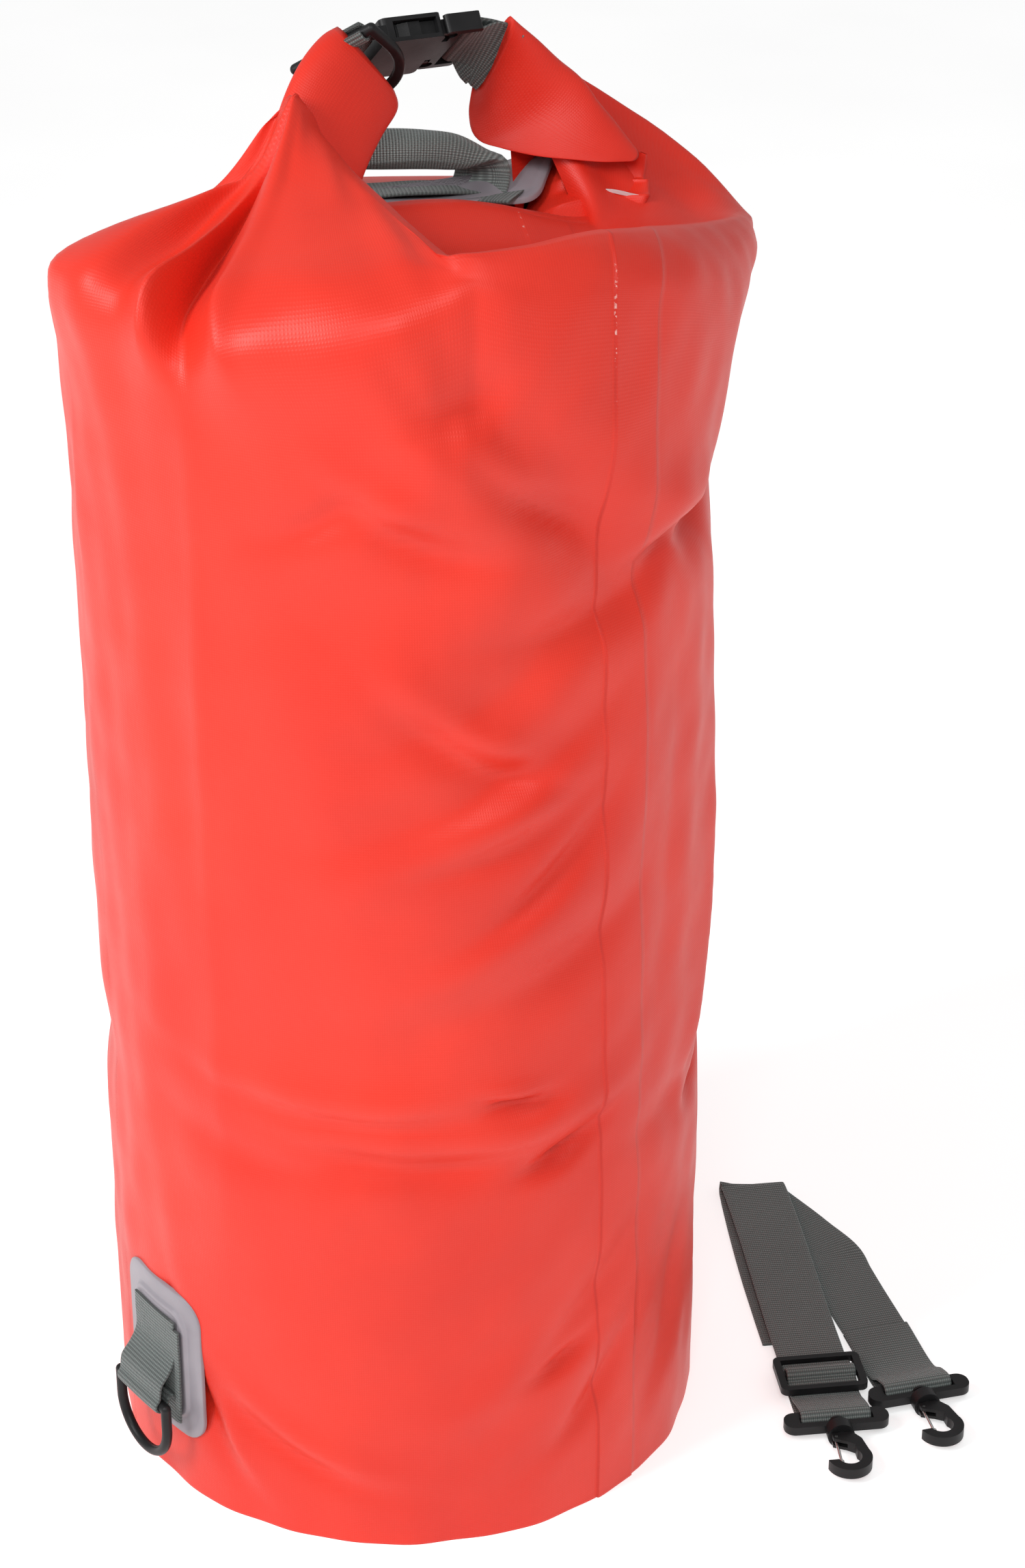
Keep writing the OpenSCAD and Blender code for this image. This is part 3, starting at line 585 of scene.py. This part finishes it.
def bag_sheet():
    knots = np.array([m[0] for m in RISE] + [RISE[0][0] + 360], float)
    lines = []
    for angle, rise, past in RISE + [RISE[0]]:
        a = math.radians(angle)
        foot = (RADIUS * math.sin(a), -RADIUS * math.cos(a), TUBE_TOP)
        # one more point beyond the last; at the front it covers the roll's crest
        after = np.array(past[3]) * 2 - np.array(past[2])
        if -24 < angle < 36:
            after = np.array(past[3]) + (2, 16, -5)
        lines.append([foot] + rise + past + [tuple(after)])
    lines = np.array(lines, float)
    phi = fabric_columns()
    columns = spline(knots, lines, phi, monotone=True)
    chord = np.linalg.norm(np.diff(columns, axis=1), axis=2).mean(0)
    s = np.concatenate([[0], np.cumsum(chord ** 0.5)])
    counts = np.maximum(4, np.round(chord / ROW_STEP)).astype(int)
    at = np.concatenate([np.linspace(s[i], s[i + 1], counts[i], endpoint=False) for i in range(len(counts))]
                        + [[s[-1]]])
    top = spline(s, columns.transpose(1, 0, 2), at)
    low_z = np.concatenate([[0, 1.2, 3.5, 7], np.arange(11, TUBE_TOP, ROW_STEP)])
    a = np.radians(phi)
    ring = np.stack([np.sin(a), -np.cos(a), np.zeros_like(a)], 1)
    low = RADIUS * ring[None] + low_z[:, None, None] * np.array([0, 0, 1])
    p = np.concatenate([low, top])
    # out of the tube's wall: dents, the long crease on the left, the lap seam and the bottom's weld
    out = unit(p * (1, 1, 0))
    height = p[..., 2]
    index = np.arange(len(p))[:, None]
    share = 1 - smooth_step((index - (len(low) + counts[0] + counts[1])) / (counts[2] + 1.0))
    rise_in = smooth_step((height - 6) / 50)
    move = -dents(phi[None, :], height) * share * rise_in
    off = np.abs((phi - CREASE_AT) * math.pi / 180 * RADIUS)[None, :]
    ridge = 4.6 * np.exp(-off / 12) - 1.8 * np.exp(-(off / 44) ** 2)
    move += ridge * share * smooth_step((height - 130) / 160) * (0.75 + 0.25 * np.sin(height / 61))
    lap = smooth_step((phi - SEAM_LEFT + 0.12) / 0.2) - 0.9 * smooth_step((phi - SEAM_RIGHT) / 0.5)
    lap[phi > SEAM_RIGHT + 3] = 0
    move += 1.1 * lap[None, :] * np.clip(1 - (index - (len(low) + counts[:5].sum())) / 60, 0, 1)
    wobble = (1.2 * np.sin(np.radians(phi) * 11 + 1) + 0.9 * np.sin(np.radians(phi) * 17 + 2.2)
              + 0.7 * np.sin(np.radians(phi) * 29))
    move += (wobble - 1.2)[None, :] * np.exp(-height / 26) * 0.4
    p = p + out * move[..., None]
    # bottom: rounded weld edge, then the base turned under
    under = []
    for r, z in ((0.985, 0.1), (0.955, 1.6), (0.7, 3.2), (0.35, 3.6), (0.02, 3.7)):
        under.append(np.stack([p[0, :, 0] * r, p[0, :, 1] * r, np.full(len(phi), z)], 1))
    p = np.concatenate([np.array(under[::-1]), p])
    rows, cols = p.shape[:2]
    length = np.concatenate([[0], np.cumsum(np.linalg.norm(np.diff(p, axis=0), axis=2).mean(1))])
    length -= length[5]
    u = phi * math.pi / 180 * RADIUS
    uv = np.stack([np.tile(u, rows), np.repeat(length, cols)], 1)
    faces = grid_faces(rows, cols, closed=True)
    return p, faces, uv


def add_scrim_relief(p, seed, size):
    """Small uneven waves so that broad faces aren't perfectly smooth."""
    rng = np.random.default_rng(seed)
    move = np.zeros(len(p))
    for _ in range(7):
        k = rng.normal(size=3)
        k /= np.linalg.norm(k) * rng.uniform(22, 60)
        move += np.sin(p @ k * 2 * math.pi + rng.uniform(0, 6.28))
    return move * size / 7


points, faces, uv = bag_sheet()
flat_points = points.reshape(-1, 3)
relief = add_scrim_relief(flat_points, 3, 1.3)[:, None]
above_weld = smooth_step((flat_points[:, 2:] - 8) / 40)
flat_points = flat_points + unit(flat_points * (1, 1, 0)) * relief * above_weld
bag = make("bag_fabric", flat_points, faces, RED, "root", uv)
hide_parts("body_tube", "top_fabric", "base_panel")

# ---------------- rolled mouth

roll = loft("roll_center_fabric", [
    ((-40, 6, 650), (0, 12, -4), (0, 2.5, 6)),
    ((-14, 5, 652.5), (0, 15, -5), (0.3, 2.8, 7)),
    ((12, 4, 652.5), (0, 16, -5.5), (0.3, 3, 7)),
    ((32, 3, 650.5), (0, 16, -5.5), (0.9, 3, 7)),
    ((52, 2, 646), (0, 16, -5.5), (1.6, 3, 7)),
    ((72, 2, 640.5), (0, 16, -5), (1.8, 3, 6.5)),
    ((96, 2, 635), (0, 14, -4), (1, 3, 6)),
    ((118, 4, 636), (0, 10, -3), (-1, 2, 5))],
    RED_PLAIN, "root", around=56)
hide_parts("roll_center", "mouth_stiffener")

arm_left = loft("roll_arm_left_fabric", [
    ((-44, -6, 648), (20, -1, 3), (1, 8, 0)),
    ((-39, 0, 668), (21, -2, -2), (1, 8.5, 0.5)),
    ((-31.5, 7, 687), (21.5, -3.5, -8), (1.4, 9, 0.4)),
    ((-19.5, 16.5, 702.5), (22.5, -1.8, -12), (1.2, 9.2, 1)),
    ((-7.5, 24, 713.5), (21.5, -0.5, -15), (0.6, 10, 1.4)),
    ((-1, 28, 719), (16.8, -1.0, -16.6), (0.2, 10, 0.8)),
    ((2.5, 30.5, 721.8), (12.4, -1.6, -15.8), (0, 9.4, 0.4))],
    RED_PLAIN, "root", around=56, caps=(0, -2.5))
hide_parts("roll_arm_left")

arm_right = loft("roll_arm_right_fabric", [
    ((73.2, 44.5, 712.5), (5.8, -9.8, 20), (-0.5, 3.2, 1.8)),
    ((75.5, 44, 707), (9.5, -8.5, 20), (-1, 5.5, 3)),
    ((79, 42.5, 700), (14.5, -7.5, 19.5), (-1.6, 7.5, 4)),
    ((84.5, 39.5, 691), (19.5, -6.2, 18), (-1.8, 9, 5)),
    ((92.5, 33.5, 685.5), (21.5, -3.5, 14.5), (-1.8, 9.5, 4.5)),
    ((101.5, 25.5, 679.5), (18.5, -0.5, 10.5), (-1.6, 9, 4.5)),
    ((112, 18.5, 674.5), (14.5, 1.8, 6.5), (-1, 8, 4)),
    ((121.5, 12.5, 670), (9.5, 2.2, 3.4), (-0.5, 6.5, 3.2)),
    ((131, 8, 666.5), (3, 1.2, 1.2), (-0.2, 3, 2))],
    RED_PLAIN, None, around=64, power=2.3, caps=(-1.5, 0.5))
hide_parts("roll_arm_right")
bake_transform(arm_right)

# ---------------- carry handle

def turn_of(*steps):
    """Rotation from (axis, degrees) steps, the first applied last."""
    m = Matrix.Identity(4)
    for axis, degrees in steps:
        m = m @ Matrix.Rotation(math.radians(degrees), 4, axis)
    return m


WEB_WIDE = 38
SHELF_AT = (20, 63, 645)
SHELF = turn_of(("Y", 2.4), ("X", -7), ("Z", -18))


def outline(w, h, r):
    """A rounded rectangle's outline."""
    out = []
    n = 10
    for cx, cy, a0 in ((w / 2 - r, h / 2 - r, 0), (-w / 2 + r, h / 2 - r, 90),
                       (-w / 2 + r, -h / 2 + r, 180), (w / 2 - r, -h / 2 + r, 270)):
        for i in range(n + 1):
            a = math.radians(a0 + 90 * i / n)
            out.append((cx + r * math.cos(a), cy + r * math.sin(a)))
    return np.array(out)


def pad_plate(name, w, h, r, steps, put, material, body, div=5.0):
    """A welded patch: rings of a rounded outline shrinking inwards at the given (inset, height) steps."""
    ring = outline(w, h, r)
    fine = []
    for i in range(len(ring)):
        a, b = ring[i], ring[(i + 1) % len(ring)]
        k = max(1, int(np.linalg.norm(b - a) / div))
        for j in range(k):
            fine.append(a + (b - a) * j / k)
    ring = np.array(fine)
    points, n = [], len(ring)
    for inset, z in steps:
        scale = np.array([max(0.02, 1 - 2 * inset / w), max(0.02, 1 - 2 * inset / h)])
        points += [(x, y, z) for x, y in ring * scale]
    faces = grid_faces(len(steps), n, closed=True)
    faces.append(tuple((len(steps) - 1) * n + i for i in range(n)))
    points = np.array(points)
    piece = make(name, put(points), faces, material, body, points[:, :2])
    return piece


def fill_steps(rim, size, top):
    """Rim steps, then rings that close the top evenly."""
    start, count = rim[-1][0], 8
    return rim + [(start + (size / 2 - start) * (i + 1) / count * 0.97, top) for i in range(count)]


def on_shelf(p):
    return place(p, SHELF_AT, SHELF)


def on_patch_shelf(p):
    """The patch's right end lies askew and rises with the fabric that the roll's right end lifts."""
    p = np.array(p, float)
    k = smooth_step((p[:, 0] - 25) / 55)
    q = p.copy()
    q[:, 0] += k * (0.5 * (p[:, 1] + 27) - 8)
    q[:, 2] += k * 16 * smooth_step((p[:, 1] + 27) / 30) + 0.5 * np.sin(p[:, 0] / 13) * np.sin(p[:, 1] / 9)
    return on_shelf(q)


handle_patch = pad_plate("handle_patch_welded", 164, 56, 12,
                         fill_steps([(0, -1.6), (0.1, 0.7), (0.7, 1.1), (3.6, 1.1), (4.4, 0.75), (5.4, 1.2)],
                                    56, 1.2),
                         on_patch_shelf, PATCH, "root")
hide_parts("handle_patch")
shelf_side = np.array(SHELF.to_3x3() @ Vector((0, 1, 0)))
base_path = [(x, 0, 2.6 + 0.5 * math.sin(x / 15)) for x in range(-74, 58, 6)]
base = ribbon("handle_base_webbing", on_shelf(base_path), shelf_side, WEB_WIDE, WEB, "root", wave=0.5, seed=4)
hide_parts("handle_base_strip", "handle_end_tabs")
ribbon("handle_foot_right", [(58, 46, 647.4), (66, 37, 648.6), (74, 29.5, 649.6), (80, 23, 650.4)],
       (0.76, 0.65, 0.02), 36, WEB, "root", seed=9, wave=0.3)
ribbon("handle_foot_left", on_shelf([(-48, 0, 4.3), (-62, 0, 4.4), (-76, 0, 4.0)]), shelf_side, 37,
       WEB, "root", seed=10)


def grip():
    """Webbing standing up flat from both feet, folded round into a soft tube between them."""
    leg = np.array((-0.345, 0.91, -0.2))
    path = [((-46, 84, 647), shelf_side, 0), ((-45, 83.5, 653), shelf_side, 0.05),
            ((-38, 81, 661), shelf_side, 0.4),
            ((-24, 76.5, 666.5), shelf_side, 0.9), ((-4, 70, 668), shelf_side, 1),
            ((20, 62, 668), shelf_side, 1),
            ((41, 55.5, 667.5), shelf_side, 1), ((56, 50, 666), shelf_side * 0.9 + leg * 0.1, 0.92),
            ((64.5, 47.5, 663.2), shelf_side * 0.6 + leg * 0.4, 0.6), ((68.4, 46, 659), leg, 0.2),
            ((67.6, 44.5, 653.5), leg + (0, 0, 0.06), 0.02), ((64, 42, 648.5), leg + (0, 0, 0.13), 0),
            ((61, 40, 645.5), leg + (0, 0, 0.16), 0)]
    data, run = resample([(*c, *s, f) for c, s, f in path], 1.4)
    centre, side, fold = data[:, :3], unit(data[:, 3:6]), np.clip(data[:, 6], 0, 1)
    tangent = unit(np.gradient(centre, axis=0))
    side = unit(side - tangent * np.sum(side * tangent, axis=1, keepdims=True))
    up = unit(np.cross(tangent, side))
    around = 52
    points, uv = [], []
    for i in range(len(centre)):
        f = fold[i]
        # flat it is 19 by 0.9 mm in half widths, and folded 8.6 by 9.4
        half_w, half_t = 19 + (8.6 - 19) * f, 0.9 + (9.4 - 0.9) * f
        power = 5 - 2.7 * f
        for k in range(around):
            a = 2 * math.pi * k / around
            c, d = math.cos(a), math.sin(a)
            c = math.copysign(abs(c) ** (2 / power), c)
            d = math.copysign(abs(d) ** (2 / power), d)
            swell = 1 + f * (0.05 * math.sin(3 * a + run[i] / 19) + 0.035 * math.sin(2 * a - run[i] / 11))
            groove = -1.3 * f * math.exp(-((a - 3.75) / 0.16) ** 2)
            points.append(centre[i] + side[i] * (half_w * c * swell - groove * c)
                          + up[i] * ((half_t * swell + groove) * d))
            uv.append((run[i], k / around * 76))
    faces = grid_faces(len(centre), around, closed=True)
    faces.append(tuple(range(around))[::-1])
    faces.append(tuple(range((len(centre) - 1) * around, len(centre) * around)))
    return make("handle_grip_webbing", points, faces, WEB_GRIP_LIT, "handle", uv)


grip_piece = grip()
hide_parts("grab_handle")

# ---------------- closure: tabs, buckle, upper ring

BUCKLE_AT = (42, 50, 720.5)
BUCKLE = turn_of(("X", -35))
buckle_side = np.array(BUCKLE.to_3x3() @ Vector((0, 1, 0)))


def on_buckle(p):
    return place(p, BUCKLE_AT, BUCKLE)


def bend(cx, cz, r, a0, a1, n):
    """Points along an arc in the xz plane, from angle a0 to a1 in degrees."""
    return [(cx + r * math.cos(math.radians(a0 + (a1 - a0) * i / n)), 0,
             cz + r * math.sin(math.radians(a0 + (a1 - a0) * i / n))) for i in range(n + 1)]


# right tab: from the roll's lips, twisting to the fork's bar, round it and back in
lip_side = np.array((0.27, -0.36, 0.89))
wrap = on_buckle(bend(17.5, 0, 3.7, -80, -280, 14))
path = [(76.5, 42.2, 708.8), (72, 44.6, 712.8)] + list(wrap) + [(71, 46.6, 713.5), (74.5, 44.6, 709)]
sides = [-lip_side] * 2 + [buckle_side] * len(wrap) + [-lip_side] * 2
tab_right = ribbon("tab_right_webbing", path, sides, 37.6, WEB, None, wave=0.3, seed=2)
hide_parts("tab_right")
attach(tab_right, "roll_right")

arm_side = np.array((-0.42, 0.2, 0.88))
wrap = on_buckle(bend(-38.5, 0, 3.7, -66, 112, 12))
path = [(-5, 37, 709.5)] + list(wrap) + [(-4, 39, 713.5)]
arm_end = buckle_side * 0.6 - arm_side * 0.4
sides = [arm_end] + [buckle_side] * len(wrap) + [arm_end]
tab_left = ribbon("tab_left_webbing", path, sides, 37.6, WEB, "root", seed=6)
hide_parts("tab_left")

RING_AT = (-12.9, 32.7, 727.8)
RING = turn_of(("Z", 67.5), ("Y", -32.9), ("X", -37.3))
ring_side = np.array(RING.to_3x3() @ Vector((0, 1, 0)))
ring_loop = ribbon("top_ring_loop_webbing", place(
    [(-2.6, 0, 4)] + bend(0, 0, 3.8, 160, 380, 16) + [(2.6, 0, 4)], np.array(RING_AT) - ring_side * 8, RING),
    ring_side, 21, WEB, "root", seed=8)
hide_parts("top_dring_loop")

# ---------------- tucked folds under the right end

# rows from under the roll's right end down to the ridge, each from under the patch to behind the sheet
TUCK = np.array([
    [(96, 44, 651), (110, 38, 662), (127, 21, 667), (138, 9, 665), (143, 26, 662)],
    [(88, 34, 641), (101, 24, 652), (122, 20, 653), (137, 9, 656), (143, 25, 652)],
    [(74, 22, 632), (90, 8, 645), (116, 8, 647), (134, 0, 649), (140, 16, 645)],
    [(62, 10, 622), (77, -4, 636), (104, -10, 635), (122, -14, 637), (128, 2, 633)],
], float)
FINE = 73


def tuck_sheet():
    """The grid made fine, with two slanting folds and a light crumple."""
    down = spline(np.arange(4), TUCK, np.linspace(0, 3, FINE), monotone=True)
    net = spline(np.arange(5), down.transpose(1, 0, 2), np.linspace(0, 4, FINE), monotone=True)
    across, along = np.meshgrid(np.linspace(0, 1, FINE), np.linspace(0, 1, FINE), indexing="ij")
    upper_fold = 5.0 * np.exp(-np.abs(along - 0.26 - 0.3 * across) / 0.07)
    lower_fold = 3.2 * np.exp(-np.abs(along - 0.62 - 0.12 * across) / 0.06)
    fold = upper_fold + lower_fold - 2.4 * np.exp(-((along - 0.46) / 0.08) ** 2)
    crumple = add_scrim_relief(net.reshape(-1, 3), 17, 2.2).reshape(FINE, FINE)
    share = np.sin(np.pi * across) ** 0.5
    net = net + np.array((0.3, -0.75, 0.6)) * ((fold + crumple) * share)[..., None]
    uv = np.stack([200 + 75 * across, 60 * along], -1)
    faces = grid_faces(FINE, FINE)
    return make("tuck_fabric", net.reshape(-1, 3), faces, RED_PLAIN, "root", uv.reshape(-1, 2))


tuck = tuck_sheet()
edge_path = [(111, 7.5, 651.5), (117.1, 4, 651.3), (122, 2, 650.2), (126.9, 0, 648.9), (130.6, -2, 648)]
ribbon("tuck_raw_edge", edge_path, (0.2, -0.3, 0.93), [0.8, 1.6, 2.0, 1.7, 2.6], RAW_EDGE, "root",
       thick=0.6, step=1.0, seed=31)

# ---------------- lower D-ring patch

# the patch's angle round the bag in degrees, and its middle's height in mm
LOWER, LOWER_Z = -78, 78


def on_side(p):
    """x round the tube, y out of it, z up, bent to the tube."""
    p = np.asarray(p, float)
    a = math.radians(LOWER) + p[:, 0] / (RADIUS + 1)
    r = RADIUS + p[:, 1]
    return np.stack([r * np.sin(a), -r * np.cos(a), p[:, 2]], 1)


def on_patch(p):
    p = np.asarray(p, float)
    return on_side(np.stack([p[:, 0], p[:, 2], p[:, 1] + LOWER_Z], 1))


patch_steps = [(0, -0.8), (0.1, 1.0), (0.7, 1.45), (5, 1.45), (9, 1.4), (10.2, 1.45), (10.8, 2.6),
               (11.6, 3.0), (13, 3.0), (13.7, 2.75), (14.4, 3.0)]
lower = pad_plate("lower_patch_welded", 68, 88, 15, fill_steps(patch_steps, 68, 3.0),
                  on_patch, PATCH, "root", div=3.0)
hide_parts("lower_patch", "lower_patch_panel")

# the webbing comes down from the panel, round the ring's bar and back up under itself
bar_out, bar_z, wrap_r = 13, 58, 3.9
hoop = [(0, 3.9, 106), (0, 3.9, 96), (0, 4.2, 84), (0, 8.6, 76), (0, 13.5, 70)] + \
       [(0, bar_out + wrap_r * math.cos(math.radians(a)), bar_z + wrap_r * math.sin(math.radians(a)))
        for a in range(60, -181, -16)] + [(0, 7.4, 62), (0, 4.4, 57), (0, 4.0, 50), (0, 4.0, 44)]
a = math.radians(LOWER)
outwards, round_it = np.array((math.sin(a), -math.cos(a), 0)), np.array((math.cos(a), math.sin(a), 0))


def flat_side(p):
    p = np.asarray(p, float)
    return outwards * (RADIUS + p[:, 1:2]) + round_it * p[:, 0:1] + np.array((0, 0, 1)) * p[:, 2:3]


loop_piece = ribbon("lower_loop_webbing", flat_side(hoop), round_it, 37.8, WEB, "root",
                    wave=0.4, seed=12, curl=-0.5)
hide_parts("lower_webbing_loop")
under_path = [(5, 3.9 + 0.02 * (z - 90) ** 2 / 60, z) for z in range(46, 104, 4)]
ribbon("lower_loop_under_layer", flat_side(under_path), round_it, 36, WEB, "root", wave=0.2, seed=13)

# ---------------- shoulder strap

# heights of the webbing's two layers above the floor, and the way each half lies on it
FLOOR_LOW, FLOOR_HIGH = 1.1, 4.8
LEFT_TURN, RIGHT_TURN = 72.5, 80


def hook_frame(at, degrees):
    return lambda p: place(p, at, turn_of(("Z", degrees)))


on_left = hook_frame((184, -150, 0), LEFT_TURN)
on_right = hook_frame((237, -146, 0), RIGHT_TURN)


def side_of(degrees):
    a = math.radians(degrees)
    return np.array((-math.sin(a), math.cos(a), 0))


def hook_loop(top, end):
    """Webbing along the floor, round a hook's bar and back on top."""
    return [(end, 0, FLOOR_LOW), (14, 0, FLOOR_LOW), (8, 0, 2.2)] + bend(0, 7.6, 4.3, -80, -280, 14) + \
           [(10, 0, 8.6), (20, 0, top), (end, 0, top)]


left_top = hook_loop(FLOOR_HIGH, 60)[:-1] + \
    [(x, 0.6 * math.sin(x / 40), FLOOR_HIGH + 0.25 * math.sin(x / 23)) for x in range(40, 226, 12)] + \
    [(228, 0, FLOOR_HIGH - 0.2), (230.2, 0, 3.0), (228, 0.8, 1.3), (220, 1.6, FLOOR_LOW),
     (190, 3.2, FLOOR_LOW), (150, 4.6, FLOOR_LOW), (110, 5.0, FLOOR_LOW), (76, 5.0, FLOOR_LOW)]
strap = ribbon("strap_webbing_left_run", on_left(left_top), side_of(LEFT_TURN), WEB_WIDE, WEB, "strap",
               seed=20, step=2.0, wave=0.15)
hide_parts("strap_webbing")
ribbon("strap_webbing_right_hem", on_right(hook_loop(FLOOR_LOW + 1.9, 62)), side_of(RIGHT_TURN), WEB_WIDE,
       WEB, "strap", seed=21, wave=0.1)
run_path = [tuple(p) for p in on_right([(64, 0, FLOOR_LOW), (90, 0.3, FLOOR_LOW + 0.1), (120, 0, FLOOR_LOW),
                                        (138, -0.6, FLOOR_LOW)])] + \
           [(258.5, 16, 1.2), (255.5, 36, 1.15), (251.5, 60, 1.1)]
run_sides = [side_of(RIGHT_TURN)] * 4 + [side_of(88), side_of(96), side_of(98)]
ribbon("strap_webbing_right_run", run_path, run_sides, 37.4, WEB, "strap", seed=22, step=2.0, wave=0.15)

slider_x = 37
hump = [(-11, 0, 6.7), (-7, 0, 7.0)] + bend(0, 7.8, 4.1, 165, 15, 10) + [(7, 0, 7.0), (11, 0, 6.7)]
bridge = ribbon("slider_bridge_webbing", on_left([(slider_x + x, y, z) for x, y, z in hump]),
                side_of(LEFT_TURN), WEB_WIDE, WEB, "slider", seed=24)
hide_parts("slider_webbing_bridge")

# ---------------- hardware and finish

SHARP_ANGLE = math.radians(38)
for name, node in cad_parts.items():
    material = STEEL if name in ("gate_wire_1", "gate_wire_2") else BLACK
    node.data.materials.clear()
    node.data.materials.append(material)
    if material is not STEEL and not node.hide_render:
        edge = node.modifiers.new("worn_edges", "BEVEL")
        edge.width = 0.0007
        edge.segments = 3
        edge.limit_method = "ANGLE"
        edge.angle_limit = SHARP_ANGLE
    for face in node.data.polygons:
        face.use_smooth = True
    sharp = node.modifiers.new("shading", "EDGE_SPLIT")
    sharp.split_angle = SHARP_ANGLE

# ---------------- floor and light

floor_mat, tree, shader = nodes_of("floor_pale")
place_of = object_vector(tree)
pale = ramp(tree, noise(tree, 3, 2, 0.5, place_of), [(0.3, (0.84, 0.84, 0.84)), (0.7, (0.88, 0.88, 0.88))])
tree.links.new(pale, shader.inputs["Base Color"])
plain(shader, Roughness=0.9, Specular_IOR_Level=0.1, Emission_Color=(1, 1, 1, 1), Emission_Strength=0.52)
FAR = 9000
floor = make("floor", [(-FAR, -FAR, 0), (FAR, -FAR, 0), (FAR, FAR, 0), (-FAR, FAR, 0)], [(0, 1, 2, 3)],
             floor_mat, None)

world = bpy.data.worlds.new("studio")
bpy.context.scene.world = world
world.use_nodes = True
plain(world.node_tree.nodes["Background"], Color=(1, 1, 1, 1), Strength=0.46)


def area(name, at, look, size, power):
    light = bpy.data.objects.new(name, bpy.data.lights.new(name, "AREA"))
    bpy.context.scene.collection.objects.link(light)
    light.location = at
    light.rotation_mode = "QUATERNION"
    light.rotation_quaternion = (Vector(look) - Vector(at)).to_track_quat("-Z", "Y")
    light.data.shape = "RECTANGLE"
    light.data.size, light.data.size_y = size
    light.data.energy = power


area("key", (-1.7, -0.35, 1.6), (0, 0, 0.6), (0.6, 1.0), 27)
area("front", (-0.7, -1.8, 2.1), (0, 0, 0.6), (0.8, 0.8), 18)
bpy.context.scene.view_settings.view_transform = "Standard"
